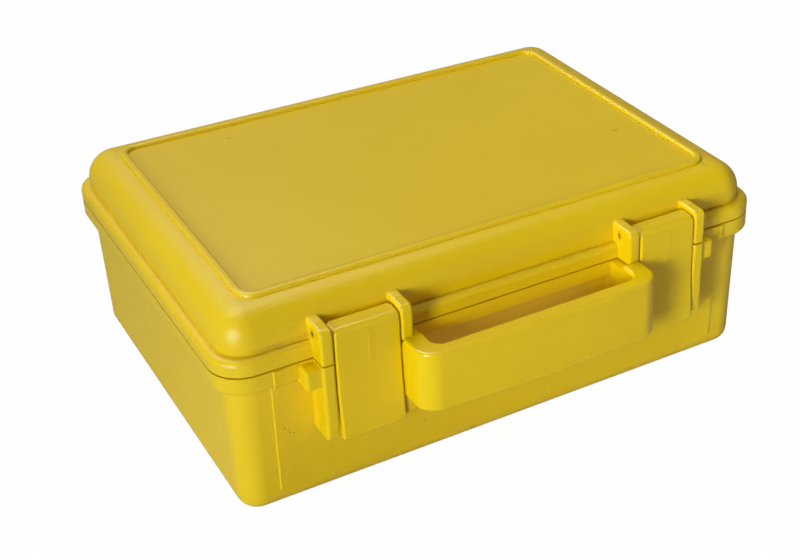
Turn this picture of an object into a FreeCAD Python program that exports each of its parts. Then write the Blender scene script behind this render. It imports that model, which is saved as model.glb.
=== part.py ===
import FreeCAD, Part
import os
import re

import Sketcher
from FreeCAD import Vector

# A moulded dry box: tray and domed lid that meet at a sealed rim, two latches in front, two hinges behind.
# X runs along the front, +Y points to the hinges, +Z is up. The origin is the middle of the tray's underside.

SIZES = [
    ("rim_length", 300.0, "rims, left to right"),
    ("rim_width", 216.4, "rims, front to back"),
    ("rim_corner_radius", 17.0, "rims, seen from above"),
    ("parting_height", 81.8, "plane where lid and tray meet"),
    ("parting_gap", 0.9, "lid rim above the tray rim"),
    ("shell_thickness", 3.0, "walls, floor and lid"),
    ("wall_overlap", 0.75, "how far rims, ribs and ears reach into a wall, as a share of its thickness"),
    ("rounding_share", 0.4, "largest rounding as a share of the thickness that it rounds"),
    ("rim_rounding_share", 0.75, "largest rounding of a rim as a share of its overhang"),
    ("tray_rim_height", 9.8, "tray rim below the parting plane"),
    ("tray_rim_edge_radius", 2.6, "rounding of the tray rim's lower edge"),
    ("tray_inset", 4.6, "tray wall behind the rim, at the parting plane"),
    ("tray_draft", 1.1, "slope of the tray walls, degrees"),
    ("tray_corner_inner_radius", 9.4, "tray's upright corners, inside"),
    ("tray_floor_inner_radius", 6.0, "between floor and walls, inside"),
    ("lid_rim_height", 8.5, "lid rim above the parting plane"),
    ("lid_rim_edge_radius", 3.6, "rounding of the lid rim's upper edge"),
    ("dome_inset", 4.5, "dome wall behind the rim"),
    ("dome_height", 27.0, "dome's flat top above the parting plane"),
    ("dome_inner_radius", 11.7, "between dome top and walls, inside"),
    ("dome_corner_extra", 0.5, "upright corners are this much rounder"),
    ("frame_margin", 19.6, "raised frame behind the rim"),
    ("frame_width", 4.6, "raised frame"),
    ("frame_height", 1.8, "raised frame above the dome"),
    ("frame_corner_radius", 10.6, "raised frame, outside"),
    ("frame_rounding", 0.94, "rounding along the raised frame, as a share of its height"),
    ("seal_line", 3.6, "middle of the tongue behind the rim"),
    ("tongue_width", 2.2, "tray tongue"),
    ("tongue_height", 2.5, "tray tongue above the parting plane"),
    ("tongue_clearance", 0.9, "tongue to groove, each side"),
    ("seal_height", 2.2, "rubber ring"),
    ("seal_gap", 0.2, "tongue to rubber ring"),
    ("seal_side_gap", 0.15, "rubber ring to groove, each side"),
    ("seal_edge_radius", 0.5, "rounding of the rubber ring"),
    ("latch_inset", 67.1, "middle of each latch from the rim's end"),
    ("bay_width", 33.6, "between the two ears of a latch"),
    ("ear_thickness", 6.4, "ears and guard ribs"),
    ("ear_depth", 9.8, "ears and guard ribs in front of the rim"),
    ("ear_height", 18.6, "ears above the parting plane"),
    ("ear_edge_radius", 1.6, "rounding of ears and ribs"),
    ("rib_length", 40.6, "guard ribs below the parting plane"),
    ("rib_gap", 0.2, "guard rib below the parting plane"),
    ("pivot_forward", 0.8, "latch pin in front of the rim"),
    ("pivot_height", 13.5, "latch pin above the parting plane"),
    ("pin_diameter", 3.2, "all steel pins"),
    ("pin_recess", 0.3, "pin ends below the faces"),
    ("pin_chamfer", 0.3, "pin ends"),
    ("running_clearance", 0.08, "pin to turning piece, radial"),
    ("latch_side_gap", 0.5, "latch to ear"),
    ("latch_skin", 3.0, "latch walls"),
    ("latch_top_drop", 1.8, "latch below the tops of the ears"),
    ("latch_length", 41.4, "latch below the parting plane"),
    ("latch_flare", 2.2, "latch foot in front of the ears"),
    ("latch_flare_start", 2.5, "start of the flare below the hook"),
    ("latch_edge_radius", 1.3, "rounding of the latch"),
    ("latch_top_radius", 4.0, "rounding of the latch's top front edge"),
    ("latch_foot_radius", 0.9, "rounding of the latch's foot"),
    ("boss_step", 0.3, "latch boss and webs inside the rounded ends of the latch"),
    ("latch_web", 2.4, "webs at both ends of the latch"),
    ("web_drop", 2.4, "webs below the middle of the pin"),
    ("catch_radius", 22.0, "catch edge from the latch pin"),
    ("catch_depth", 4.6, "catch in front of the rim"),
    ("catch_thickness", 4.4, "catch"),
    ("hook_clearance", 0.3, "hook to catch"),
    ("hook_overlap", 3.4, "hook behind the catch's front edge"),
    ("hook_thickness", 3.0, "hook, at the latch"),
    ("hook_tip_thickness", 2.25, "hook, at its tip"),
    ("block_width", 7.4, "stop block beside the outer rib"),
    ("block_depth", 8.0, "stop block in front of the rim"),
    ("block_drop", 1.4, "stop block below the parting plane"),
    ("block_height", 9.6, "stop block"),
    ("handle_reach", 28.4, "handle ends in front of the rim"),
    ("handle_bow", 2.6, "middle of the handle in front of its ends"),
    ("handle_bar", 6.6, "ends of the handle bar, front to back"),
    ("handle_arm", 10.6, "handle arms, left to right"),
    ("handle_rise", 2.0, "handle above the parting plane"),
    ("handle_clearance", 0.4, "raised ends of the handle to the ears"),
    ("handle_height", 32.2, "handle, top to bottom"),
    ("handle_outer_radius", 10.5, "handle corners, outside"),
    ("handle_inner_radius", 5.5, "handle corners, inside"),
    ("handle_edge_radius", 1.8, "rounding along the handle"),
    ("hinge_inset", 67.1, "middle of each hinge from the rim's end"),
    ("hinge_offset", 4.8, "hinge pin behind the rim"),
    ("knuckle_radius", 4.2, "hinge knuckles"),
    ("tray_knuckle", 10.0, "each tray knuckle, left to right"),
    ("lid_knuckle", 24.0, "lid knuckle, left to right"),
    ("knuckle_gap", 0.4, "between knuckles"),
    ("lug_height", 8.0, "tray lugs that carry the knuckles"),
    ("lid_lug_height", 6.0, "lid lugs above the parting plane"),
    ("lug_root", 1.2, "lugs behind the rim, where they meet it"),
    ("heel_back", 2.6, "lid knuckle's stop heel behind the pin"),
]

doc = FreeCAD.newDocument("DryBox")
sheet = doc.addObject("Spreadsheet::Sheet", "Sizes")
for row, (alias, value, note) in enumerate(SIZES, start=1):
    sheet.set(f"A{row}", note)
    sheet.set(f"B{row}", str(value))
    sheet.setAlias(f"B{row}", alias)
doc.recompute()
ALIASES = {alias for alias, value, note in SIZES}
# How near a point has to lie to its place, mm
SLACK = 0.01


def cells(formula):
    """Spells a formula of size names as an expression on the sheet."""
    return re.sub(r"[a-z_]+", lambda word: f"Sizes.{word[0]}" if word[0] in ALIASES else word[0], formula)


def number(formula):
    """Value of a formula of size names."""
    return float(sheet.evalExpression(cells(formula)))


# Formulas that several pieces share
RIM_FRONT = "(0 - rim_width / 2)"
EAR_FRONT = f"({RIM_FRONT} - ear_depth)"
RIM_BACK = "(rim_width / 2)"
PIVOT_Y = f"({RIM_FRONT} - pivot_forward)"
PIVOT_Z = "(parting_height + pivot_height)"
HINGE_Y = f"({RIM_BACK} + hinge_offset)"
BAY_CENTRE = "(rim_length / 2 - latch_inset)"
BAY_NEAR = f"({BAY_CENTRE} - bay_width / 2)"
BAY_FAR = f"({BAY_CENTRE} + bay_width / 2)"
HINGE_CENTRE = "(rim_length / 2 - hinge_inset)"
PIN_RADIUS = "(pin_diameter / 2)"
LID_FOOT = "(parting_height + parting_gap)"
GROOVE_TOP = "(parting_height + tongue_height + seal_gap + seal_height)"
GROOVE_HALF = "(tongue_width / 2 + tongue_clearance)"
DOME_RADIUS = "(dome_inner_radius + shell_thickness)"
DOME_CORNER = f"({DOME_RADIUS} + dome_corner_extra)"
TRAY_CORNER = "(tray_corner_inner_radius + shell_thickness)"
TRAY_WALL_INSIDE = "(tray_inset + shell_thickness * wall_overlap)"
DOME_WALL_INSIDE = "(dome_inset + shell_thickness * wall_overlap)"
BOSS_RADIUS = "(ear_height - latch_top_drop - pivot_height)"
LATCH_WIDTH = "(bay_width - 2 * latch_side_gap)"
BOSS_INSET = "(latch_edge_radius + boss_step)"
EAR_CORNER = "min(ear_depth * rounding_share; ear_edge_radius * 2)"
HINGE_WIDTH = "(lid_knuckle + 2 * knuckle_gap + 2 * tray_knuckle)"


def new_body(label):
    body = doc.addObject("PartDesign::Body", label)
    body.Label = label
    return body


def origin_plane(body, role):
    return next(item for item in body.Origin.OriginFeatures if item.Role == role)


def new_sketch(body, name, role, offset="0"):
    """Sketch parallel to an origin plane of its body, moved along that plane's normal."""
    sketch = body.newObject("Sketcher::SketchObject", f"{body.Name}_{name}")
    sketch.AttachmentSupport = [(origin_plane(body, role), "")]
    sketch.MapMode = "FlatFace"
    sketch.setExpression("AttachmentOffset.Base.z", cells(offset))
    return sketch


def bind(sketch, constraint, formula):
    """Adds a constraint whose value comes from the sheet."""
    index = sketch.addConstraint(constraint)
    sketch.setExpression(f"Constraints[{index}]", cells(formula))


def draw_polygon(sketch, points, bowed=None, radius="0"):
    """Closed outline whose corners are pairs of formulas. One side may bow outwards with a radius."""
    corners = [Vector(number(across), number(up), 0) for across, up in points]
    count = len(corners)
    first = sketch.GeometryCount
    for index in range(count):
        start, end = corners[index], corners[(index + 1) % count]
        side = Part.LineSegment(start, end)
        if index == bowed:
            chord = end - start
            curve = number(radius)
            depth = curve - (curve ** 2 - (chord.Length / 2) ** 2) ** 0.5
            outward = Vector(chord.y, -chord.x, 0).normalize()
            side = Part.Arc(start, (start + end) * 0.5 + outward * depth, end)
        sketch.addGeometry(side, False)
    for index in range(count):
        following = first + (index + 1) % count
        sketch.addConstraint(Sketcher.Constraint("Coincident", first + index, 2, following, 1))
    for index, (across, up) in enumerate(points):
        line = first + index
        bind(sketch, Sketcher.Constraint("DistanceX", -1, 1, line, 1, corners[index].x), across)
        bind(sketch, Sketcher.Constraint("DistanceY", -1, 1, line, 1, corners[index].y), up)
    if bowed is not None:
        bind(sketch, Sketcher.Constraint("Radius", first + bowed, number(radius)), radius)


def draw_circle(sketch, across, up, radius):
    centre = Vector(number(across), number(up), 0)
    circle = sketch.addGeometry(Part.Circle(centre, Vector(0, 0, 1), number(radius)), False)
    bind(sketch, Sketcher.Constraint("DistanceX", -1, 1, circle, 3, centre.x), across)
    bind(sketch, Sketcher.Constraint("DistanceY", -1, 1, circle, 3, centre.y), up)
    bind(sketch, Sketcher.Constraint("Radius", circle, number(radius)), radius)


def draw_rounded(sketch, inset, radius):
    """Rounded rectangle, set in from the rim's outline on all four sides."""
    half_x = f"(rim_length / 2 - {inset})"
    half_y = f"(rim_width / 2 - {inset})"
    x, y, r = number(half_x), number(half_y), number(radius)
    first = sketch.GeometryCount
    sides = [
        (Vector(-x + r, -y, 0), Vector(x - r, -y, 0)),
        (Vector(x, -y + r, 0), Vector(x, y - r, 0)),
        (Vector(x - r, y, 0), Vector(-x + r, y, 0)),
        (Vector(-x, y - r, 0), Vector(-x, -y + r, 0)),
    ]
    centres = [Vector(x - r, -y + r, 0), Vector(x - r, y - r, 0),
               Vector(-x + r, y - r, 0), Vector(-x + r, -y + r, 0)]
    diagonal = r / 2 ** 0.5
    outward = [Vector(diagonal, -diagonal, 0), Vector(diagonal, diagonal, 0),
               Vector(-diagonal, diagonal, 0), Vector(-diagonal, -diagonal, 0)]
    for index in range(4):
        start, end = sides[index]
        sketch.addGeometry(Part.LineSegment(start, end), False)
        arc = Part.Arc(end, centres[index] + outward[index], sides[(index + 1) % 4][0])
        sketch.addGeometry(arc, False)
    for index in range(4):
        line, arc, following = first + 2 * index, first + 2 * index + 1, first + (2 * index + 2) % 8
        sketch.addConstraint(Sketcher.Constraint("Tangent", line, 2, arc, 1))
        sketch.addConstraint(Sketcher.Constraint("Tangent", arc, 2, following, 1))
    front, right, back, left = first, first + 2, first + 4, first + 6
    sketch.addConstraint(Sketcher.Constraint("Horizontal", front))
    sketch.addConstraint(Sketcher.Constraint("Vertical", right))
    for arc in (first + 3, first + 5, first + 7):
        sketch.addConstraint(Sketcher.Constraint("Equal", first + 1, arc))
    bind(sketch, Sketcher.Constraint("Radius", first + 1, r), radius)
    bind(sketch, Sketcher.Constraint("DistanceX", -1, 1, right, 1, x), half_x)
    bind(sketch, Sketcher.Constraint("DistanceX", left, 1, -1, 1, x), half_x)
    bind(sketch, Sketcher.Constraint("DistanceY", front, 1, -1, 1, y), half_y)
    bind(sketch, Sketcher.Constraint("DistanceY", -1, 1, back, 1, y), half_y)


def extrude(body, kind, name, sketch, length, reverse=False, both_ways=False):
    """Pad or Pocket of a sketch, which has to change the body's volume."""
    before = body.Shape.Volume if body.Tip else 0.0
    feature = body.newObject(f"PartDesign::{kind}", f"{body.Name}_{name}")
    feature.Profile = sketch
    feature.setExpression("Length", cells(length))
    feature.Reversed = reverse
    feature.SideType = "Symmetric" if both_ways else "One side"
    body.Tip = feature
    doc.recompute()
    change = body.Shape.Volume - before
    if (change <= 0) == (kind == "Pad"):
        raise RuntimeError(f"{feature.Name} changes nothing")
    return feature


def edges_where(body, test):
    """Names of the body's edges that pass a test on their own points."""
    names = []
    for index, edge in enumerate(body.Tip.Shape.Edges, start=1):
        low, high = edge.ParameterRange
        points = [edge.valueAt(low + (high - low) * share) for share in (0.0, 0.5, 1.0)]
        if test(edge, points):
            names.append(f"Edge{index}")
    return names


def faces_where(shape, test):
    return [f"Face{index}" for index, face in enumerate(shape.Faces, start=1) if test(face)]


def round_edges(body, name, radius, test):
    names = edges_where(body, test)
    if not names:
        raise RuntimeError(f"{body.Name} {name} finds no edge")
    rounded = body.Tip
    feature = body.newObject("PartDesign::Fillet", f"{body.Name}_{name}")
    feature.Base = (rounded, names)
    feature.setExpression("Radius", cells(radius))
    body.Tip = feature
    doc.recompute()
    return feature


def mirror_left(body, name, features):
    """Repeats features on the other side of the box's middle plane."""
    feature = body.newObject("PartDesign::Mirrored", f"{body.Name}_{name}")
    feature.Originals = features
    feature.MirrorPlane = (origin_plane(body, "YZ_Plane"), [""])
    body.Tip = feature
    doc.recompute()
    return feature


def hollow(body, open_face):
    block = body.Tip
    feature = body.newObject("PartDesign::Thickness", f"{body.Name}_hollow")
    feature.Base = (block, open_face)
    feature.setExpression("Value", cells("shell_thickness"))
    feature.Reversed = True
    body.Tip = feature
    doc.recompute()
    return feature


def near(value, formula):
    return abs(value - number(formula)) < SLACK


def level(points, formula):
    """True if an edge lies in a horizontal plane."""
    return all(near(point.z, formula) for point in points)


def make_tray():
    body = new_body("base_shell")
    make_tray_walls(body)
    make_tray_rim(body)
    make_tray_front(body)
    make_handle(body)
    make_tray_knuckles(body)
    return body


def make_tray_walls(body):
    sketch = new_sketch(body, "wall_outline", "XY_Plane")
    draw_rounded(sketch, "tray_inset", TRAY_CORNER)
    walls = extrude(body, "Pad", "walls", sketch, "parting_height")
    upright = faces_where(walls.Shape, lambda face: abs(face.normalAt(0, 0).z) < 0.5)
    top = faces_where(walls.Shape, lambda face: face.normalAt(0, 0).z > 0.5)
    draft = body.newObject("PartDesign::Draft", "base_shell_draft")
    draft.Base = (walls, upright)
    draft.NeutralPlane = (walls, top)
    draft.setExpression("Angle", cells("tray_draft"))
    body.Tip = draft
    doc.recompute()
    if body.Shape.Volume > walls.Shape.Volume:
        draft.Reversed = True
        doc.recompute()
    round_edges(body, "floor_edge", "tray_floor_inner_radius + shell_thickness",
                lambda edge, points: level(points, "0"))
    hollow(body, faces_where(body.Shape, lambda face: near(face.CenterOfMass.z, "parting_height")))


def make_tray_rim(body):
    sketch = new_sketch(body, "rim_outline", "XY_Plane", "parting_height")
    draw_rounded(sketch, "0", "rim_corner_radius")
    draw_rounded(sketch, TRAY_WALL_INSIDE, f"{TRAY_CORNER} - {TRAY_WALL_INSIDE} + tray_inset")
    extrude(body, "Pad", "rim", sketch, "tray_rim_height", reverse=True)
    lower = "parting_height - tray_rim_height"
    reach = number("rim_length / 2 - tray_inset / 2")
    depth = number("rim_width / 2 - tray_inset / 2")
    corner = number("rim_corner_radius")
    round_edges(body, "rim_edge", "min(tray_rim_edge_radius; tray_inset * rim_rounding_share)",
                lambda edge, points: level(points, lower) and (
                    abs(points[1].x) > reach or abs(points[1].y) > depth
                    or (hasattr(edge.Curve, "Radius") and abs(edge.Curve.Radius - corner) < SLACK)))
    sketch = new_sketch(body, "tongue_outline", "XY_Plane", "parting_height")
    draw_rounded(sketch, "(seal_line - tongue_width / 2)", "rim_corner_radius - seal_line + tongue_width / 2")
    draw_rounded(sketch, "(seal_line + tongue_width / 2)", "rim_corner_radius - seal_line - tongue_width / 2")
    extrude(body, "Pad", "tongue", sketch, "tongue_height")


def make_tray_front(body):
    """Guard ribs, stop blocks and catches, on the right and then on the left."""
    inside = f"({RIM_FRONT} + {TRAY_WALL_INSIDE})"
    top = "(parting_height - rib_gap)"
    foot = "(parting_height - rib_length)"
    rib = [(inside, top), (EAR_FRONT, top), (EAR_FRONT, foot), (inside, foot)]
    features = []
    for name, place in (("inner_rib", f"({BAY_NEAR} - ear_thickness)"), ("outer_rib", BAY_FAR)):
        sketch = new_sketch(body, f"{name}_outline", "YZ_Plane", place)
        draw_polygon(sketch, rib)
        features.append(extrude(body, "Pad", name, sketch, "ear_thickness"))
    block_front = f"({RIM_FRONT} - block_depth)"
    block_top = "(parting_height - block_drop)"
    block_foot = f"({block_top} - block_height)"
    sketch = new_sketch(body, "block_outline", "YZ_Plane", f"{BAY_FAR} + ear_thickness")
    draw_polygon(sketch, [(inside, block_top), (block_front, block_top),
                          (block_front, block_foot), (inside, block_foot)])
    features.append(extrude(body, "Pad", "block", sketch, "block_width"))
    catch_front = f"({RIM_FRONT} - catch_depth)"
    root_foot = f"({PIVOT_Z} - sqrt(catch_radius ^ 2 - pivot_forward ^ 2))"
    front_foot = f"({PIVOT_Z} - sqrt(catch_radius ^ 2 - (catch_depth - pivot_forward) ^ 2))"
    sketch = new_sketch(body, "catch_outline", "YZ_Plane", BAY_NEAR)
    draw_polygon(sketch, [(inside, root_foot), (RIM_FRONT, root_foot), (catch_front, front_foot),
                          (catch_front, f"{front_foot} + catch_thickness"),
                          (inside, f"{front_foot} + catch_thickness")])
    features.append(extrude(body, "Pad", "catch", sketch, "bay_width"))
    mirror_left(body, "front_left", features)
    front, ear_front = number(RIM_FRONT), number(EAR_FRONT)
    round_edges(body, "rib_edges", "min(ear_edge_radius; ear_thickness * rounding_share)",
                lambda edge, points: all(abs(point.y - ear_front) < SLACK for point in points)
                and not level(points, top))
    side = number(f"{BAY_FAR} + ear_thickness + block_width")
    round_edges(body, "block_edges", "min(ear_edge_radius; block_width * rounding_share)",
                lambda edge, points: all(abs(abs(point.x) - side) < SLACK for point in points)
                and points[1].y < front - SLACK and not level(points, block_foot))


def make_handle(body):
    """Carry handle on the inner ribs; its upper part stands in front of the ears."""
    wall = f"({RIM_FRONT} + {TRAY_WALL_INSIDE})"
    outer = f"({RIM_FRONT} - handle_reach)"
    inner = f"({outer} + handle_bar)"
    arm_inner = f"({BAY_NEAR} - handle_arm)"
    top = "(parting_height + handle_rise)"
    root_top = "(parting_height - rib_gap)"
    root_height = "(handle_height - handle_rise - rib_gap)"
    bow_radius = f"(({BAY_NEAR} ^ 2 + handle_bow ^ 2) / (2 * handle_bow))"
    for name, height, depth, back in (("handle_root", root_top, root_height, wall),
                                      ("handle", top, "handle_height", f"({EAR_FRONT} - handle_clearance)")):
        sketch = new_sketch(body, f"{name}_outline", "XY_Plane", height)
        draw_polygon(sketch, [(f"0 - {BAY_NEAR}", back), (f"0 - {BAY_NEAR}", outer), (BAY_NEAR, outer),
                              (BAY_NEAR, back), (arm_inner, back), (arm_inner, inner),
                              (f"0 - {arm_inner}", inner), (f"0 - {arm_inner}", back)], 1, bow_radius)
        extrude(body, "Pad", name, sketch, depth, reverse=True)
    outer_y, inner_y = number(outer), number(inner)
    outer_x, inner_x = number(BAY_NEAR), number(arm_inner)

    def upright_at(points, x, y):
        return all(abs(abs(point.x) - x) < SLACK and abs(point.y - y) < SLACK for point in points)

    round_edges(body, "handle_outer_corners", "handle_outer_radius",
                lambda edge, points: upright_at(points, outer_x, outer_y))
    round_edges(body, "handle_inner_corners", "handle_inner_radius",
                lambda edge, points: upright_at(points, inner_x, inner_y))
    foot = f"({top} - handle_height)"
    back_end = number(f"{EAR_FRONT} - handle_clearance")
    round_edges(body, "handle_edges", "min(handle_edge_radius; handle_bar * rounding_share)",
                lambda edge, points: (level(points, top) or level(points, foot))
                and points[1].y < back_end - SLACK)


def make_tray_knuckles(body):
    """Two knuckles a hinge, on lugs behind the rim, bored for the pin."""
    rim_inside = f"({RIM_BACK} - tray_inset / 2)"
    rear = f"({HINGE_Y} + knuckle_radius)"
    top = "(parting_height - rib_gap)"
    lug_foot = f"({top} - lug_height)"
    near_end = f"({HINGE_CENTRE} - {HINGE_WIDTH} / 2)"
    sketch = new_sketch(body, "lug_outline", "YZ_Plane", near_end)
    draw_polygon(sketch, [(rim_inside, top), (rear, top), (rear, f"{top} - lug_root"),
                          (f"{RIM_BACK} + lug_root", lug_foot), (rim_inside, lug_foot)])
    lug = extrude(body, "Pad", "lug", sketch, HINGE_WIDTH)
    sketch = new_sketch(body, "knuckle_outline", "YZ_Plane", near_end)
    draw_circle(sketch, HINGE_Y, "parting_height", "knuckle_radius")
    knuckle = extrude(body, "Pad", "knuckle", sketch, HINGE_WIDTH)
    above = "(parting_height + 2 * knuckle_radius)"
    below = "(parting_height - 2 * lug_height)"
    sketch = new_sketch(body, "gap_outline", "YZ_Plane", f"{HINGE_CENTRE} - lid_knuckle / 2 - knuckle_gap")
    draw_polygon(sketch, [(RIM_BACK, above), (f"{rear} + knuckle_radius", above),
                          (f"{rear} + knuckle_radius", below), (RIM_BACK, below)])
    gap = extrude(body, "Pocket", "gap", sketch, "lid_knuckle + 2 * knuckle_gap", reverse=True)
    sketch = new_sketch(body, "bore_outline", "YZ_Plane", near_end)
    draw_circle(sketch, HINGE_Y, "parting_height", PIN_RADIUS)
    bore = extrude(body, "Pocket", "bore", sketch, HINGE_WIDTH, reverse=True)
    mirror_left(body, "back_left", [lug, knuckle, gap, bore])


def make_lid():
    body = new_body("lid_shell")
    make_dome(body)
    make_lid_rim(body)
    make_ears(body)
    make_lid_knuckles(body)
    return body


def make_dome(body):
    sketch = new_sketch(body, "dome_outline", "XY_Plane", LID_FOOT)
    draw_rounded(sketch, "dome_inset", DOME_CORNER)
    extrude(body, "Pad", "dome", sketch, "dome_height - parting_gap")
    dome_top = "parting_height + dome_height"
    round_edges(body, "dome_edge", DOME_RADIUS, lambda edge, points: level(points, dome_top))
    hollow(body, faces_where(body.Shape, lambda face: near(face.CenterOfMass.z, LID_FOOT)))
    sketch = new_sketch(body, "frame_outline", "XY_Plane", dome_top)
    draw_rounded(sketch, "frame_margin", "frame_corner_radius")
    draw_rounded(sketch, "(frame_margin + frame_width)", "frame_corner_radius - frame_width")
    extrude(body, "Pad", "frame", sketch, "frame_height")
    crest = "parting_height + dome_height + frame_height"
    round_edges(body, "frame_edges", "min(frame_height * frame_rounding; frame_width * rounding_share)",
                lambda edge, points: level(points, crest))


def make_lid_rim(body):
    sketch = new_sketch(body, "rim_outline", "XY_Plane", LID_FOOT)
    draw_rounded(sketch, "0", "rim_corner_radius")
    draw_rounded(sketch, DOME_WALL_INSIDE, f"{DOME_CORNER} - {DOME_WALL_INSIDE} + dome_inset")
    extrude(body, "Pad", "rim", sketch, "lid_rim_height - parting_gap")
    upper = "parting_height + lid_rim_height"
    reach = number("rim_length / 2 - dome_inset / 2")
    depth = number("rim_width / 2 - dome_inset / 2")
    corner = number("rim_corner_radius")
    round_edges(body, "rim_edge", "min(lid_rim_edge_radius; dome_inset * rim_rounding_share)",
                lambda edge, points: level(points, upper) and (
                    abs(points[1].x) > reach or abs(points[1].y) > depth
                    or (hasattr(edge.Curve, "Radius") and abs(edge.Curve.Radius - corner) < SLACK)))
    sketch = new_sketch(body, "groove_outline", "XY_Plane", LID_FOOT)
    draw_rounded(sketch, f"(seal_line - {GROOVE_HALF})", f"rim_corner_radius - seal_line + {GROOVE_HALF}")
    draw_rounded(sketch, f"(seal_line + {GROOVE_HALF})", f"rim_corner_radius - seal_line - {GROOVE_HALF}")
    extrude(body, "Pocket", "groove", sketch, f"{GROOVE_TOP} - {LID_FOOT}", reverse=True)


def make_ears(body):
    """Two ears a latch, bored for the latch pin."""
    inside = f"({RIM_FRONT} + {DOME_WALL_INSIDE})"
    over_groove = f"({GROOVE_TOP} + (lid_rim_height - tongue_height - seal_gap - seal_height) / 4)"
    top = "(parting_height + ear_height)"
    rim_inside = f"({RIM_FRONT} + (seal_line - {GROOVE_HALF}) / 2)"
    ear = [(rim_inside, LID_FOOT), (EAR_FRONT, LID_FOOT), (EAR_FRONT, top),
           (inside, top), (inside, over_groove), (rim_inside, over_groove)]
    features = []
    for name, place in (("inner_ear", f"({BAY_NEAR} - ear_thickness)"), ("outer_ear", BAY_FAR)):
        sketch = new_sketch(body, f"{name}_outline", "YZ_Plane", place)
        draw_polygon(sketch, ear)
        features.append(extrude(body, "Pad", name, sketch, "ear_thickness"))
    sketch = new_sketch(body, "pin_hole_outline", "YZ_Plane", f"{BAY_NEAR} - ear_thickness")
    draw_circle(sketch, PIVOT_Y, PIVOT_Z, PIN_RADIUS)
    over_ears = "bay_width + 2 * ear_thickness"
    features.append(extrude(body, "Pocket", "pin_hole", sketch, over_ears, reverse=True))
    mirror_left(body, "ears_left", features)
    ear_front, ear_top = number(EAR_FRONT), number(top)
    round_edges(body, "ear_corners", EAR_CORNER,
                lambda edge, points: all(abs(point.y - ear_front) < SLACK and abs(point.z - ear_top) < SLACK
                                         for point in points))
    front = number(RIM_FRONT)
    base = number(LID_FOOT)
    corner_foot = number(f"{top} - {EAR_CORNER}")
    round_edges(body, "ear_edges", "min(ear_edge_radius; ear_thickness * rounding_share)",
                lambda edge, points: points[1].y < front - SLACK and points[1].z > base + SLACK
                and ear_side(points) and (points[1].y < ear_front + SLACK or points[1].z > corner_foot))


def ear_side(points):
    """True if an edge lies in the side face of an ear."""
    sides = (f"{BAY_NEAR} - ear_thickness", BAY_NEAR, BAY_FAR, f"{BAY_FAR} + ear_thickness")
    return any(all(near(abs(point.x), side) for point in points) for side in sides)


def make_lid_knuckles(body):
    """One knuckle a hinge, with a square heel that meets the tray rim when the lid is open."""
    rim_inside = f"({RIM_BACK} - (seal_line - {GROOVE_HALF}) / 2)"
    rear = f"({HINGE_Y} + knuckle_radius)"
    lug_top = "(parting_height + lid_lug_height)"
    foot = "(parting_height - knuckle_radius)"
    near_end = f"({HINGE_CENTRE} - lid_knuckle / 2)"
    sketch = new_sketch(body, "lug_outline", "YZ_Plane", near_end)
    draw_polygon(sketch, [(rim_inside, LID_FOOT), (HINGE_Y, LID_FOOT), (HINGE_Y, foot),
                          (f"{HINGE_Y} + heel_back", foot), (f"{HINGE_Y} + heel_back", "parting_height"),
                          (rear, "parting_height"), (f"{RIM_BACK} + lug_root", lug_top),
                          (rim_inside, lug_top)])
    lug = extrude(body, "Pad", "lug", sketch, "lid_knuckle")
    sketch = new_sketch(body, "knuckle_outline", "YZ_Plane", near_end)
    draw_circle(sketch, HINGE_Y, "parting_height", "knuckle_radius")
    knuckle = extrude(body, "Pad", "knuckle", sketch, "lid_knuckle")
    sketch = new_sketch(body, "bore_outline", "YZ_Plane", near_end)
    draw_circle(sketch, HINGE_Y, "parting_height", f"{PIN_RADIUS} + running_clearance")
    bore = extrude(body, "Pocket", "bore", sketch, "lid_knuckle", reverse=True)
    mirror_left(body, "back_left", [lug, knuckle, bore])


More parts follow.
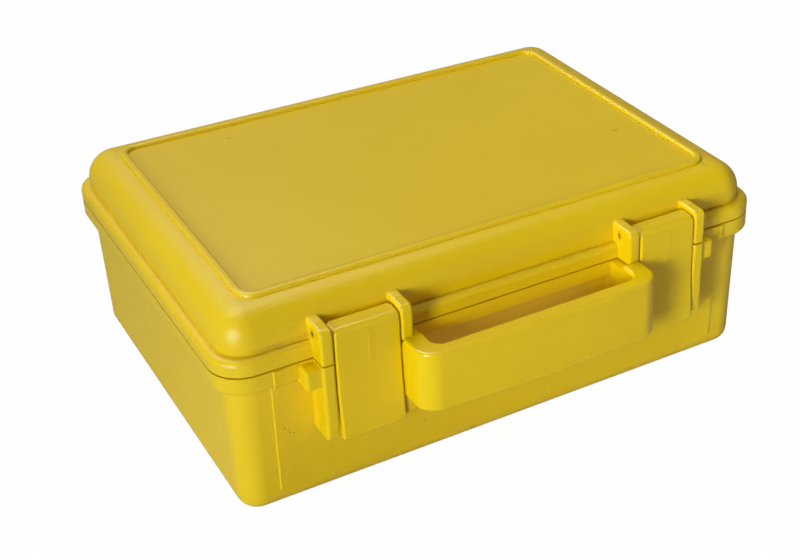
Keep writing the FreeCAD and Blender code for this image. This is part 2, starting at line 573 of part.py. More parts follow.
def make_latch(label, side):
    """Latch lever: a flat front that flares at its foot, a boss round the pin, a hook and two end webs."""
    body = new_body(label)
    body.setExpression("Placement.Base.x", cells(f"{side} * {BAY_CENTRE}"))
    front = EAR_FRONT
    back = f"({front} + latch_skin)"
    top = f"({PIVOT_Z} + {BOSS_RADIUS})"
    under_top = f"({top} - latch_skin)"
    foot = "(parting_height - latch_length)"
    hook_tip = f"({RIM_FRONT} - catch_depth + hook_overlap)"
    hook_radius = "(catch_radius + hook_clearance + hook_overlap ^ 2 / (2 * catch_radius))"
    tip_top = f"({PIVOT_Z} - sqrt({hook_radius} ^ 2 - ({PIVOT_Y} - {hook_tip}) ^ 2))"
    root_top = f"({PIVOT_Z} - sqrt({hook_radius} ^ 2 - ({PIVOT_Y} - {back}) ^ 2))"
    bend = f"({root_top} - hook_thickness - latch_flare_start)"
    sketch = new_sketch(body, "lever_outline", "YZ_Plane")
    draw_polygon(sketch, [
        (front, top), (front, bend), (f"{front} - latch_flare", foot), (f"{back} - latch_flare", foot),
        (back, bend), (back, f"{root_top} - hook_thickness"), (hook_tip, f"{tip_top} - hook_tip_thickness"),
        (hook_tip, tip_top), (back, root_top), (back, under_top), (PIVOT_Y, under_top), (PIVOT_Y, top)])
    extrude(body, "Pad", "lever", sketch, LATCH_WIDTH, both_ways=True)
    sketch = new_sketch(body, "boss_outline", "YZ_Plane")
    draw_circle(sketch, PIVOT_Y, PIVOT_Z, BOSS_RADIUS)
    extrude(body, "Pad", "boss", sketch, f"{LATCH_WIDTH} - 2 * {BOSS_INSET}", both_ways=True)
    sketch = new_sketch(body, "web_outline", "YZ_Plane", f"{LATCH_WIDTH} / 2 - {BOSS_INSET}")
    draw_polygon(sketch, [(f"{back} - latch_skin / 2", f"{under_top} + latch_skin / 2"),
                          (PIVOT_Y, f"{under_top} + latch_skin / 2"),
                          (PIVOT_Y, f"{PIVOT_Z} - web_drop"),
                          (back, f"{root_top} + hook_thickness * 2"),
                          (f"{back} - latch_skin / 2", f"{root_top} + hook_thickness * 2")])
    web = extrude(body, "Pad", "web", sketch, "latch_web", reverse=True)
    mirror_left(body, "web_left", [web])
    sketch = new_sketch(body, "bore_outline", "YZ_Plane")
    draw_circle(sketch, PIVOT_Y, PIVOT_Z, f"{PIN_RADIUS} + running_clearance")
    extrude(body, "Pocket", "bore", sketch, LATCH_WIDTH, both_ways=True)
    front_y, top_z, foot_z = number(front), number(top), number(foot)
    side_x = number(f"{LATCH_WIDTH} / 2")
    round_edges(body, "top_edge", "min(latch_top_radius; latch_skin + latch_edge_radius)",
                lambda edge, points: all(abs(point.y - front_y) < SLACK and abs(point.z - top_z) < SLACK
                                         for point in points))
    round_edges(body, "side_edges", "min(latch_edge_radius; latch_skin * rounding_share)",
                lambda edge, points: all(abs(abs(point.x) - side_x) < SLACK for point in points)
                and points[1].z > foot_z + SLACK
                and (points[1].y < front_y + SLACK or points[1].z > top_z - SLACK))
    round_edges(body, "foot_edges", "min(latch_foot_radius; latch_skin * rounding_share)",
                lambda edge, points: all(abs(point.z - foot_z) < SLACK for point in points)
                and abs(points[0].x - points[2].x) > side_x)
    return body


def make_pin(label, centre, along, up, length):
    """Steel pin that lies along X, with chamfered ends."""
    body = new_body(label)
    for axis, formula in zip("xyz", (centre, along, up)):
        body.setExpression(f"Placement.Base.{axis}", cells(formula))
    half = f"({length}) / 2"
    shoulder = f"{half} - pin_chamfer"
    sketch = new_sketch(body, "outline", "XY_Plane")
    draw_polygon(sketch, [(f"0 - {half}", "0"), (half, "0"), (half, f"{PIN_RADIUS} - pin_chamfer"),
                          (shoulder, PIN_RADIUS), (f"0 - ({shoulder})", PIN_RADIUS),
                          (f"0 - {half}", f"{PIN_RADIUS} - pin_chamfer")])
    turned = body.newObject("PartDesign::Revolution", f"{label}_turned")
    turned.Profile = sketch
    turned.ReferenceAxis = (sketch, ["H_Axis"])
    turned.Angle = 360
    body.Tip = turned
    doc.recompute()
    return body


def make_seal():
    """Rubber ring at the bottom of the lid's groove."""
    body = new_body("lid_seal")
    half = f"({GROOVE_HALF} - seal_side_gap)"
    lower = f"({GROOVE_TOP} - seal_height)"
    sketch = new_sketch(body, "outline", "XY_Plane", lower)
    draw_rounded(sketch, f"(seal_line - {half})", f"rim_corner_radius - seal_line + {half}")
    draw_rounded(sketch, f"(seal_line + {half})", f"rim_corner_radius - seal_line - {half}")
    extrude(body, "Pad", "ring", sketch, "seal_height")
    rounding = f"min(seal_edge_radius; seal_height * rounding_share; {half} * rounding_share)"
    round_edges(body, "edges", rounding, lambda edge, points: level(points, lower))
    return body


def write_parts(pieces):
    doc.recompute()
    for item in doc.Objects:
        if "Invalid" in item.State or "Error" in item.State:
            raise RuntimeError(f"{item.Name} failed: {item.State}")
    for piece in pieces:
        if piece.Shape.isNull() or not piece.Shape.isValid():
            raise RuntimeError(f"{piece.Label} has no valid shape")
    os.makedirs("parts", exist_ok=True)
    for piece in pieces:
        piece.Shape.exportStep(f"parts/{piece.Label}.step")
        print(piece.Label, len(piece.Shape.Solids), round(piece.Shape.Volume / 1000.0, 2), "cm3")


def make_box():
    pieces = [make_tray(), make_lid(), make_seal()]
    latch_pin = "bay_width + 2 * ear_thickness - 2 * pin_recess"
    hinge_pin = f"{HINGE_WIDTH} - 2 * pin_recess"
    for name, side in (("left", "-1"), ("right", "1")):
        pieces.append(make_latch(f"latch_{name}", side))
        pieces.append(make_pin(f"latch_pin_{name}", f"{side} * {BAY_CENTRE}", PIVOT_Y, PIVOT_Z, latch_pin))
        hinge_place = f"{side} * {HINGE_CENTRE}"
        pieces.append(make_pin(f"hinge_pin_{name}", hinge_place, HINGE_Y, "parting_height", hinge_pin))
    return pieces


write_parts(make_box())
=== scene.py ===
import math

import bmesh
import bpy
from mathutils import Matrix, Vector


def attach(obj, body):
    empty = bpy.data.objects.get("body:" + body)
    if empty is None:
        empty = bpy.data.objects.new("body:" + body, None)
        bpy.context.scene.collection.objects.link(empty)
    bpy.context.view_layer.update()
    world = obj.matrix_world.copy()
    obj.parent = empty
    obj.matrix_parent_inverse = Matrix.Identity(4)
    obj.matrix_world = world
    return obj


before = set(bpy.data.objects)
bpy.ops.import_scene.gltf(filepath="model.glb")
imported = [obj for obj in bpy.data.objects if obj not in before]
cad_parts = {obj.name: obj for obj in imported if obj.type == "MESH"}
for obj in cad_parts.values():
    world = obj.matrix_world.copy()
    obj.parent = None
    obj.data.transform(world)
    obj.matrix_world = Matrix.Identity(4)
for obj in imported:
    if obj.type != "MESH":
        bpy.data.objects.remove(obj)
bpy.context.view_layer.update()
MM = 0.001

# Yellow moulded dry box. X runs along the latched front, +Y points to the hinges and +Z is up.
# Blender works in metres. Sizes and places on the box are given in millimetres.

# Colours, as sRGB hex
YELLOW_PALE = "#F0CC06"
YELLOW_DEEP = "#EAC404"
# Dark brown, for dirt specks and for painted shade in the creases
DIRT_AND_SHADE = "#5A3A04"
SCUFF = "#9C8650"
STEEL = "#8B8781"
STEEL_DARK = "#4C4843"
RUST = "#C08A12"
RUBBER = "#1B1B1C"
RUBBER_DUSTY = "#2C2B2A"
FLOOR = "#E2E1DE"
GLOW = "#FFFFFF"

# Camera of the photograph, fitted to the box's outlines: place in metres, turn in degrees, lens in mm
CAMERA_PLACE = (-0.30903, -0.62182, 0.45866)
CAMERA_TURN = (60.266, 0.637, -30.725)
CAMERA_LENS = 66.234
CAMERA_SENSOR = 36.0
CAMERA_SHIFT = (-0.125, -0.0625)

# Lamps: watts, width and distance in metres, degrees from the front and above the floor, beam and tint
LAMPS = {
    "key_gridded": (9.7, 1.5, 3.2, -63.0, 14.0, 30.0, "#F6FFFD"),
    "top_softbox": (64.0, 2.5, 3.0, -170.0, 62.0, 180.0, "#FFFFF8"),
    "fill_softbox": (7.5, 2.4, 3.0, 18.0, 28.0, 180.0, "#FFE4D0"),
}
# Where the lamps point, in metres: the middle of the box, but for the key, whose beam's edge grazes it
BOX_MIDDLE = (0.0, 0.0, 0.05)
LAMP_AIM = {"key_gridded": (0.32, -0.64, 0.09)}
# Brightness of the surroundings: as light, in the view and in reflections
AMBIENT, WHITE, MIRRORED = 0.02, 0.985, 0.27
FLOOR_REACH = 6.0

# Gloss: roughness of the ABS by the surface of its mould, what its blotches add, and the other materials
GRAINED_ROUGHNESS = 0.37
BLASTED_ROUGHNESS = 0.28
POLISHED_ROUGHNESS = 0.14
BLOTCH_ROUGHNESS = 0.06
ABS_IOR = 1.52
STEEL_ROUGHNESS = 0.42
RUBBER_ROUGHNESS = 0.72
RUBBER_IOR = 1.5

# Sizes of the patterns in the materials
BLOTCH_SIZE = 45
# Size of the patches that break up the painted shade in the creases
CREASE_SHADE_PATCH = 14
RUBBED_GRIT = 2.2
GRAIN_SIZE = 1.1
GRAIN_DEPTH = 0.14
WIRE_MARK_LENGTH = 16.7
WIRE_MARK_WIDTH = 0.25
DUST_SIZE = 6

# Zones where the mould is polished or blasted, each a box given by two corners
TRAY_FRONT = ((-140.0, -145.0, 30.0), (140.0, -108.4, 100.0))
LID_EARS = ((-120.0, -125.0, 80.0), (120.0, -108.4, 105.0))
LID_PANEL = ((-131.6, -89.8, 106.5), (131.6, 89.8, 114.0))
WHOLE_LATCHES = ((-120.0, -130.0, 30.0), (120.0, -100.0, 110.0))

# Lines of painted shade along the creases and the gap round the rims: level, half width and strength
TRAY_CREASE_SHADE = [(81.8, 0.6, 0.1), (72.6, 1.4, 0.2)]
LID_CREASE_SHADE = [(82.7, 0.6, 0.1), (90.5, 1.1, 0.15)]

# Marks of use: middle, half sizes and strength
LID_SCUFFS = [
    ((-122.0, -103.7, 91.4), (15.0, 5.0, 2.2), 0.5), ((-109.0, -103.7, 92.4), (9.0, 5.0, 2.0), 0.45),
    ((-131.0, -106.0, 92.0), (6.0, 6.0, 1.8), 0.35), ((-113.0, -103.7, 96.5), (5.0, 5.0, 3.0), 0.2)]
# The last of the specks below is no mark of use: it is a line of painted shade that darkens the crease
# at the foot of the raised frame's right side
LID_SPECKS_AND_SHADE = [
    ((109.6, -32.1, 108.8), (3.2, 1.6, 1.0), 0.22), ((-72.7, 70.3, 108.8), (2.0, 1.4, 1.0), 0.2),
    ((125.9, 0.0, 108.9), (0.7, 300.0, 0.9), 0.25)]
TRAY_SPECKS = [
    ((-124.0, -103.0, 48.6), (0.4, 1.0, 0.4), 0.5), ((-122.0, -103.0, 47.4), (0.5, 1.0, 0.4), 0.5),
    ((-121.2, -103.0, 45.3), (0.7, 1.0, 0.5), 0.7), ((-119.2, -102.9, 44.2), (0.5, 1.0, 0.4), 0.6),
    ((-118.9, -102.9, 42.2), (0.5, 1.0, 0.7), 0.7), ((-116.8, -102.9, 41.0), (0.7, 1.0, 0.5), 0.7),
    ((-48.9, -102.4, 21.4), (0.6, 1.0, 0.5), 0.5), ((-44.0, -102.4, 18.8), (0.8, 1.0, 0.4), 0.4)]
RUSTY_PIN_END = ((61.0, -109.0, 95.3), (8.0, 8.0, 8.0), 1.0)
# Share of its half sizes over which a mark fades out
SCUFF_FADE, SPECK_AND_SHADE_FADE, RUST_FADE = 0.8, 0.6, 0.5
# Levels of the grit's noise between which a scuff goes from none to whole
RUBBED_FROM, RUBBED_TO = 0.35, 0.65

# Seams that inserts in the moulds leave, down the tray's front and on each latch
LEFT, RIGHT = -1, 1
TRAY_SEAM_SIDE = 125.5
TRAY_SEAM_TOP = 81.5
TRAY_SEAM_END = 10.5
TRAY_SEAM_HEIGHT = 0.7
RIM_FRONT = -108.2
RIM_FOOT = 72.0
RIM_EDGE_RADIUS = 2.6
RIM_EDGE_STEPS = 6
WALL_FRONT = -103.41
WALL_SLOPE = 0.0192
LATCH_SEAM_SIDE = 82.9
LATCH_SEAM_TOP = 94.5
LATCH_SEAM_END = 76.5
LATCH_SEAM_HEIGHT = 0.2
LATCH_FACE = -118.0
# Section of a seam: its lean and run-out as multiples of its height, and how deep its edges and its root sit
SEAM_LEAN = 0.6
SEAM_RUN_OUT = 20
SEAM_SUNK = 0.05
SEAM_ROOT = 0.5

# Sockets of a Mix node that mixes colours
MIX_FROM, MIX_TO, MIX_RESULT = 6, 7, 2


def linear(hex_colour):
    """A linear RGBA colour from an sRGB hex value."""
    shares = [int(hex_colour[i:i + 2], 16) / 255 for i in (1, 3, 5)]
    return [s / 12.92 if s <= 0.04045 else ((s + 0.055) / 1.055) ** 2.4 for s in shares] + [1.0]


def add_node(tree, kind, inputs=None, **settings):
    """Adds a node with its settings; each input is a constant or another node's output."""
    node = tree.nodes.new(kind)
    for name, value in settings.items():
        setattr(node, name, value)
    for name, value in (inputs or {}).items():
        if isinstance(value, bpy.types.NodeSocket):
            tree.links.new(value, node.inputs[name])
        else:
            node.inputs[name].default_value = value
    return node


def new_material(name):
    """An empty node material and its tree."""
    material = bpy.data.materials.new(name)
    material.use_nodes = True
    material.node_tree.nodes.clear()
    return material, material.node_tree


def box_share(tree, place, box):
    """Share of 1 inside a box on the object and 0 outside it."""
    low, high = (Vector(corner) * MM for corner in box)
    offset = add_node(tree, "ShaderNodeVectorMath", {0: place, 1: (low + high) / 2}, operation="SUBTRACT")
    scaled = add_node(tree, "ShaderNodeVectorMath", {
        0: offset.outputs[0], 1: (high - low) / 2}, operation="DIVIDE")
    size = add_node(tree, "ShaderNodeVectorMath", {0: scaled.outputs[0]}, operation="ABSOLUTE")
    axes = add_node(tree, "ShaderNodeSeparateXYZ", {0: size.outputs[0]})
    most = add_node(tree, "ShaderNodeMath", {0: axes.outputs[0], 1: axes.outputs[1]}, operation="MAXIMUM")
    most = add_node(tree, "ShaderNodeMath", {0: most.outputs[0], 1: axes.outputs[2]}, operation="MAXIMUM")
    inside = add_node(tree, "ShaderNodeMath", {0: most.outputs[0], 1: 1.0}, operation="LESS_THAN")
    return inside.outputs[0]


def mark_share(tree, place, mark, fade):
    """Strength of a mark in its middle, which falls to 0 at its half sizes."""
    middle, sizes, strength = mark
    offset = add_node(tree, "ShaderNodeVectorMath", {0: place, 1: Vector(middle) * MM}, operation="SUBTRACT")
    scaled = add_node(tree, "ShaderNodeVectorMath", {
        0: offset.outputs[0], 1: Vector(sizes) * MM}, operation="DIVIDE")
    reach = add_node(tree, "ShaderNodeVectorMath", {0: scaled.outputs[0]}, operation="LENGTH")
    share = add_node(tree, "ShaderNodeMapRange", {
        "Value": reach.outputs["Value"], "From Min": 1.0, "From Max": 1.0 - fade, "To Max": strength})
    return share.outputs["Result"]


def largest(tree, shares):
    """The largest of several shares."""
    total = shares[0]
    for share in shares[1:]:
        total = add_node(tree, "ShaderNodeMath", {0: total, 1: share}, operation="MAXIMUM").outputs[0]
    return total


def crease_shade_shares(tree, place, lines, grained):
    """Share of each line of painted shade in the creases, made uneven and laid only where the surface is
    grained.
    """
    height = add_node(tree, "ShaderNodeSeparateXYZ", {0: place}).outputs["Z"]
    uneven = add_node(tree, "ShaderNodeTexNoise", {
        "Vector": place, "Scale": 1 / (CREASE_SHADE_PATCH * MM), "Detail": 2.0}).outputs["Fac"]
    sticky = add_node(tree, "ShaderNodeMath", {0: uneven, 1: grained}, operation="MULTIPLY").outputs[0]
    shares = []
    for level, half_width, strength in lines:
        above = add_node(tree, "ShaderNodeMath", {0: height, 1: level * MM}, operation="SUBTRACT")
        away = add_node(tree, "ShaderNodeMath", {0: above.outputs[0]}, operation="ABSOLUTE")
        line = add_node(tree, "ShaderNodeMapRange", {
            "Value": away.outputs[0], "From Min": half_width * MM, "From Max": 0.0, "To Max": strength})
        share = add_node(tree, "ShaderNodeMath", {0: line.outputs["Result"], 1: sticky}, operation="MULTIPLY")
        shares.append(share.outputs[0])
    return shares


def rubbed_share(tree, place, scuffs):
    """Share of the scuffs, broken up by the grit that rubbed them."""
    grit = add_node(tree, "ShaderNodeTexNoise", {
        "Vector": place, "Scale": 1 / (RUBBED_GRIT * MM), "Detail": 4.0, "Roughness": 0.7})
    patchy = add_node(tree, "ShaderNodeMapRange", {
        "Value": grit.outputs["Fac"], "From Min": RUBBED_FROM, "From Max": RUBBED_TO})
    whole = largest(tree, [mark_share(tree, place, scuff, SCUFF_FADE) for scuff in scuffs])
    share = add_node(tree, "ShaderNodeMath", {0: whole, 1: patchy.outputs["Result"]}, operation="MULTIPLY")
    return share.outputs[0]


def moulded_abs(name, polished, blasted=(), crease_shade=(), specks_and_shade=(), scuffs=()):
    """ABS from a spark-eroded mould: satin yellow with a fine pebbled grain.

    It is glossy where the mould is polished, and smooth but satin where the mould is blasted.
    The grain is about 0.4 mm on such boxes and is drawn at 1.1 mm, so that it shows.
    """
    material, tree = new_material(name)
    place = add_node(tree, "ShaderNodeTexCoord").outputs["Object"]
    glossy = largest(tree, [box_share(tree, place, box) for box in polished])
    smooth = largest(tree, [box_share(tree, place, box) for box in (*polished, *blasted)])
    grained = add_node(tree, "ShaderNodeMath", {0: 1.0, 1: smooth}, operation="SUBTRACT").outputs[0]

    # The pigment's own blotches, with the painted shade in the creases, the scuffs and the specks laid over
    # them
    blotch = add_node(tree, "ShaderNodeTexNoise", {
        "Vector": place, "Scale": 1 / (BLOTCH_SIZE * MM), "Detail": 3.0}).outputs["Fac"]
    layers = [(blotch, YELLOW_PALE)]
    # Painted shade in the creases and the gap round the rims
    if crease_shade:
        layers += [(share, DIRT_AND_SHADE) for share in crease_shade_shares(tree, place, crease_shade, grained)]
    if scuffs:
        layers.append((rubbed_share(tree, place, scuffs), SCUFF))
    # Dark specks of dirt; on the lid one of them is a line of painted shade at the foot of the raised frame
    if specks_and_shade:
        dark = largest(tree, [mark_share(tree, place, spot, SPECK_AND_SHADE_FADE) for spot in specks_and_shade])
        layers.append((dark, DIRT_AND_SHADE))
    colour = linear(YELLOW_DEEP)
    for share, laid_over in layers:
        mixed = add_node(tree, "ShaderNodeMix", {
            "Factor": share, MIX_FROM: colour, MIX_TO: linear(laid_over)}, data_type="RGBA")
        colour = mixed.outputs[MIX_RESULT]

    # The grain stands out from the mean surface by half its depth each way
    grain = add_node(tree, "ShaderNodeTexNoise", {
        "Vector": place, "Scale": 1 / (GRAIN_SIZE * MM), "Detail": 1.0, "Roughness": 0.5}).outputs["Fac"]
    level = add_node(tree, "ShaderNodeMath", {0: grain, 1: 0.5}, operation="SUBTRACT").outputs[0]
    relief = add_node(tree, "ShaderNodeMath", {0: level, 1: grained}, operation="MULTIPLY").outputs[0]
    bump = add_node(tree, "ShaderNodeBump", {
        "Height": relief, "Distance": GRAIN_DEPTH * MM, "Strength": 1.0})

    gloss = add_node(tree, "ShaderNodeMapRange", {
        "Value": smooth, "To Min": GRAINED_ROUGHNESS, "To Max": BLASTED_ROUGHNESS}).outputs["Result"]
    gloss = add_node(tree, "ShaderNodeMath", {
        0: glossy, 1: POLISHED_ROUGHNESS - BLASTED_ROUGHNESS, 2: gloss}, operation="MULTIPLY_ADD").outputs[0]
    gloss = add_node(tree, "ShaderNodeMath", {
        0: blotch, 1: BLOTCH_ROUGHNESS, 2: gloss}, operation="MULTIPLY_ADD").outputs[0]
    shader = add_node(tree, "ShaderNodeBsdfPrincipled", {
        "Base Color": colour, "Roughness": gloss, "IOR": ABS_IOR, "Normal": bump.outputs["Normal"]})
    add_node(tree, "ShaderNodeOutputMaterial", {"Surface": shader.outputs[0]})
    return material


def drawn_steel():
    """Steel wire, drawn: grey with fine marks along its length, and one end gone brown."""
    material, tree = new_material("steel_drawn_wire")
    place = add_node(tree, "ShaderNodeTexCoord").outputs["Object"]
    marks_per_metre = [1 / (size * MM) for size in (WIRE_MARK_LENGTH, WIRE_MARK_WIDTH, WIRE_MARK_WIDTH)]
    along = add_node(tree, "ShaderNodeMapping", {"Vector": place, "Scale": marks_per_metre})
    marks = add_node(tree, "ShaderNodeTexNoise", {"Vector": along.outputs[0], "Scale": 1.0, "Detail": 2.0})
    clean = add_node(tree, "ShaderNodeMix", {
        "Factor": marks.outputs["Fac"], MIX_FROM: linear(STEEL_DARK), MIX_TO: linear(STEEL)},
        data_type="RGBA")
    rusty = mark_share(tree, place, RUSTY_PIN_END, RUST_FADE)
    colour = add_node(tree, "ShaderNodeMix", {
        "Factor": rusty, MIX_FROM: clean.outputs[MIX_RESULT], MIX_TO: linear(RUST)}, data_type="RGBA")
    metal = add_node(tree, "ShaderNodeMapRange", {"Value": rusty, "To Min": 1.0, "To Max": 0.0})
    shader = add_node(tree, "ShaderNodeBsdfPrincipled", {
        "Base Color": colour.outputs[MIX_RESULT], "Metallic": metal.outputs["Result"],
        "Roughness": STEEL_ROUGHNESS})
    add_node(tree, "ShaderNodeOutputMaterial", {"Surface": shader.outputs[0]})
    return material


def seal_rubber():
    """EPDM rubber, extruded and joined: matt black with a trace of dust."""
    material, tree = new_material("rubber_epdm_extruded")
    place = add_node(tree, "ShaderNodeTexCoord").outputs["Object"]
    dust = add_node(tree, "ShaderNodeTexNoise", {
        "Vector": place, "Scale": 1 / (DUST_SIZE * MM), "Detail": 4.0})
    colour = add_node(tree, "ShaderNodeMix", {
        "Factor": dust.outputs["Fac"], MIX_FROM: linear(RUBBER), MIX_TO: linear(RUBBER_DUSTY)},
        data_type="RGBA")
    shader = add_node(tree, "ShaderNodeBsdfPrincipled", {
        "Base Color": colour.outputs[MIX_RESULT], "Roughness": RUBBER_ROUGHNESS, "IOR": RUBBER_IOR})
    add_node(tree, "ShaderNodeOutputMaterial", {"Surface": shader.outputs[0]})
    return material


def seen_shares(tree, white):
    """Shares of white for rays from the camera, and of 1 for rays from gloss and glass."""
    rays = add_node(tree, "ShaderNodeLightPath").outputs
    view = add_node(tree, "ShaderNodeMath", {0: rays["Is Camera Ray"], 1: white}, operation="MULTIPLY")
    gloss = add_node(tree, "ShaderNodeMath", {
        0: rays["Is Glossy Ray"], 1: rays["Is Transmission Ray"]}, operation="MAXIMUM")
    return view.outputs[0], gloss.outputs[0]


def white_floor():
    """A floor of white paper that keeps the box's shadow, and looks dimmer in reflections."""
    material, tree = new_material("floor_paper_white")
    paper = add_node(tree, "ShaderNodeBsdfDiffuse", {"Color": linear(FLOOR)})
    view, gloss = seen_shares(tree, WHITE)
    shown = add_node(tree, "ShaderNodeMath", {0: view, 1: gloss}, operation="MAXIMUM")
    strength = add_node(tree, "ShaderNodeMapRange", {"Value": gloss, "To Min": 1.0, "To Max": MIRRORED})
    glow = add_node(tree, "ShaderNodeEmission", {
        "Color": linear(GLOW), "Strength": strength.outputs["Result"]})
    both = add_node(tree, "ShaderNodeMixShader", {
        0: shown.outputs[0], 1: paper.outputs[0], 2: glow.outputs[0]})
    add_node(tree, "ShaderNodeOutputMaterial", {"Surface": both.outputs[0]})
    mesh = bpy.data.meshes.new("floor")
    corners = [(x * FLOOR_REACH, y * FLOOR_REACH, 0) for x, y in ((-1, -1), (1, -1), (1, 1), (-1, 1))]
    mesh.from_pydata(corners, [], [(0, 1, 2, 3)])
    floor = bpy.data.objects.new("floor", mesh)
    floor.data.materials.append(material)
    bpy.context.scene.collection.objects.link(floor)


def white_room():
    """A white room round the floor, which gives little light and looks dimmer in reflections."""
    world = bpy.data.worlds.new("white_room")
    bpy.context.scene.world = world
    world.use_nodes = True
    tree = world.node_tree
    tree.nodes.clear()
    view, gloss = seen_shares(tree, 1.0)
    dim = add_node(tree, "ShaderNodeMapRange", {"Value": gloss, "To Min": AMBIENT, "To Max": MIRRORED})
    strength = add_node(tree, "ShaderNodeMath", {0: view, 1: dim.outputs["Result"]}, operation="MAXIMUM")
    glow = add_node(tree, "ShaderNodeBackground", {"Color": linear(GLOW), "Strength": strength.outputs[0]})
    add_node(tree, "ShaderNodeOutputWorld", {"Surface": glow.outputs[0]})


def light_box():
    """Soft studio lamps that face the box."""
    for name, (power, width, distance, azimuth, elevation, beam, tint) in LAMPS.items():
        aim = Vector(LAMP_AIM.get(name, BOX_MIDDLE))
        a, e = math.radians(azimuth), math.radians(elevation)
        back = Vector((math.sin(a) * math.cos(e), -math.cos(a) * math.cos(e), math.sin(e)))
        data = bpy.data.lights.new(name, "AREA")
        data.energy = power
        data.size = width
        data.spread = math.radians(beam)
        data.color = linear(tint)[:3]
        lamp = bpy.data.objects.new(name, data)
        lamp.location = aim + back * distance
        lamp.rotation_euler = (-back).to_track_quat("-Z", "Y").to_euler()
        bpy.context.scene.collection.objects.link(lamp)


def photo_camera():
    """The photograph's own view."""
    data = bpy.data.cameras.new("photo_camera")
    data.lens = CAMERA_LENS
    data.sensor_width = CAMERA_SENSOR
    data.shift_x, data.shift_y = CAMERA_SHIFT
    camera = bpy.data.objects.new("photo_camera", data)
    camera.location = CAMERA_PLACE
    camera.rotation_euler = [math.radians(turn) for turn in CAMERA_TURN]
    bpy.context.scene.collection.objects.link(camera)
    bpy.context.scene.camera = camera


def dress(node, material):
    """Gives a CAD node its finish."""
    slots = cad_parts[node].data.materials
    slots.clear()
    slots.append(material)


def seam_tree():
    """Geometry Nodes: a low step along a mesh's lines, as the edge of an insert in the mould leaves it."""
    tree = bpy.data.node_groups.new("mould_seam_step", "GeometryNodeTree")
    tree.interface.new_socket("Lines", in_out="INPUT", socket_type="NodeSocketGeometry")
    for corner in ("Foot", "Crest", "Run-out", "Root"):
        tree.interface.new_socket(corner, in_out="INPUT", socket_type="NodeSocketVector")
    tree.interface.new_socket("Finish", in_out="INPUT", socket_type="NodeSocketMaterial")
    tree.interface.new_socket("Step", in_out="OUTPUT", socket_type="NodeSocketGeometry")
    given = add_node(tree, "NodeGroupInput").outputs
    path = add_node(tree, "GeometryNodeMeshToCurve", {"Mesh": given["Lines"]})
    upright = add_node(tree, "GeometryNodeSetCurveNormal", {"Curve": path.outputs["Curve"]}, mode="Z_UP")
    section = add_node(tree, "GeometryNodeCurvePrimitiveQuadrilateral", {
        "Point 1": given["Foot"], "Point 2": given["Crest"], "Point 3": given["Run-out"],
        "Point 4": given["Root"]}, mode="POINTS")
    step = add_node(tree, "GeometryNodeCurveToMesh", {
        "Curve": upright.outputs["Curve"], "Profile Curve": section.outputs["Curve"], "Fill Caps": True})
    real = add_node(tree, "GeometryNodeRealizeInstances", {"Geometry": step.outputs["Mesh"]})
    done = add_node(tree, "GeometryNodeSetMaterial", {
        "Geometry": real.outputs["Geometry"], "Material": given["Finish"]})
    add_node(tree, "NodeGroupOutput", {"Step": done.outputs["Geometry"]})
    return tree


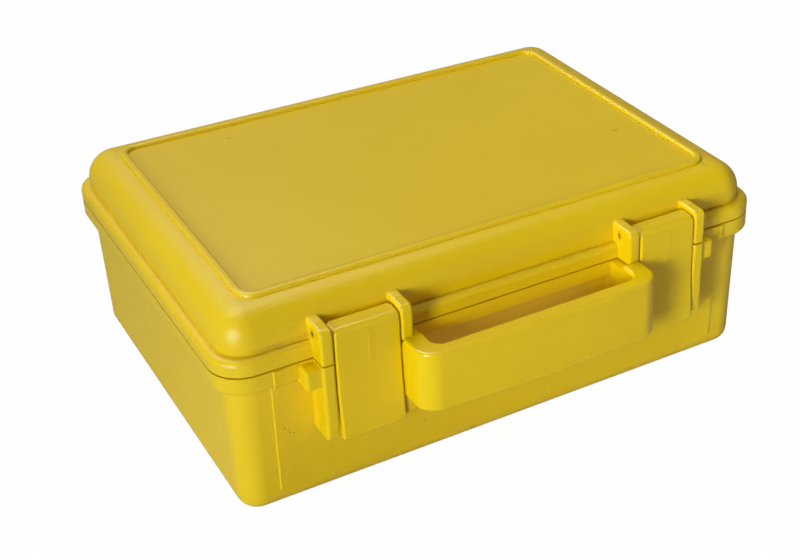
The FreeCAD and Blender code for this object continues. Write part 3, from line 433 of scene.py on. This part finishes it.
def seam_step(tree, name, line, height, facing, material, body):
    """A step of a given height along a line, which faces left or right and runs out on its other side."""
    sketch = bpy.data.meshes.new(name)
    sketch.from_pydata([Vector(point) * MM for point in line], [(i, i + 1) for i in range(len(line) - 1)], [])
    piece = bpy.data.objects.new(name, sketch)
    bpy.context.scene.collection.objects.link(piece)
    values = {
        "Foot": (SEAM_LEAN * height * facing * MM, -SEAM_SUNK * MM, 0.0),
        "Crest": (0.0, height * MM, 0.0),
        "Run-out": (-SEAM_RUN_OUT * height * facing * MM, -SEAM_SUNK * MM, 0.0),
        "Root": (0.0, -SEAM_ROOT * MM, 0.0),
        "Finish": material}
    sockets = {item.name: item.identifier for item in tree.interface.items_tree if item.in_out == "INPUT"}
    grow = piece.modifiers.new("step", "NODES")
    grow.node_group = tree
    for socket, value in values.items():
        grow[sockets[socket]] = value
    shape = bpy.data.meshes.new_from_object(piece.evaluated_get(bpy.context.evaluated_depsgraph_get()))
    piece.modifiers.remove(grow)
    mesh = bmesh.new()
    mesh.from_mesh(shape)
    bmesh.ops.recalc_face_normals(mesh, faces=mesh.faces)
    mesh.to_mesh(shape)
    mesh.free()
    shape.shade_flat()
    piece.data = shape
    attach(piece, body)


def tray_seam(x):
    """Line down the tray's front: over the rim, round its lower edge and down the sloping wall."""
    line = [(x, RIM_FRONT, TRAY_SEAM_TOP)]
    for step in range(RIM_EDGE_STEPS + 1):
        turn = math.radians(90 * step / RIM_EDGE_STEPS)
        line.append((x, RIM_FRONT + RIM_EDGE_RADIUS * (1 - math.cos(turn)),
                     RIM_FOOT + RIM_EDGE_RADIUS * (1 - math.sin(turn))))
    wall_end = WALL_FRONT + WALL_SLOPE * (RIM_FOOT - TRAY_SEAM_END)
    return line + [(x, WALL_FRONT, RIM_FOOT), (x, wall_end, TRAY_SEAM_END)]


def latch_seam(x):
    """Line down the upper part of a latch's front."""
    return [(x, LATCH_FACE, LATCH_SEAM_TOP), (x, LATCH_FACE, LATCH_SEAM_END)]


photo_camera()
light_box()
white_floor()
white_room()
tray_finish = moulded_abs("abs_tray_grained", [TRAY_FRONT], crease_shade=TRAY_CREASE_SHADE, specks_and_shade=TRAY_SPECKS)
lid_finish = moulded_abs("abs_lid_grained", [LID_EARS], [LID_PANEL], LID_CREASE_SHADE, LID_SPECKS_AND_SHADE, LID_SCUFFS)
latch_finish = moulded_abs("abs_latch_polished", [WHOLE_LATCHES])
dress("base_shell", tray_finish)
dress("lid_shell", lid_finish)
seams = seam_tree()
for side, facing in (("left", LEFT), ("right", RIGHT)):
    dress("latch_" + side, latch_finish)
    seam_step(seams, "tray_seam_" + side, tray_seam(TRAY_SEAM_SIDE * facing), TRAY_SEAM_HEIGHT, facing,
              tray_finish, "base")
    seam_step(seams, "latch_seam_" + side, latch_seam(LATCH_SEAM_SIDE * facing), LATCH_SEAM_HEIGHT, LEFT,
              latch_finish, "latch_" + side)
steel = drawn_steel()
for pin in ("latch_pin_left", "latch_pin_right", "hinge_pin_left", "hinge_pin_right"):
    dress(pin, steel)
dress("lid_seal", seal_rubber())

bpy.context.scene.view_settings.view_transform = "Standard"
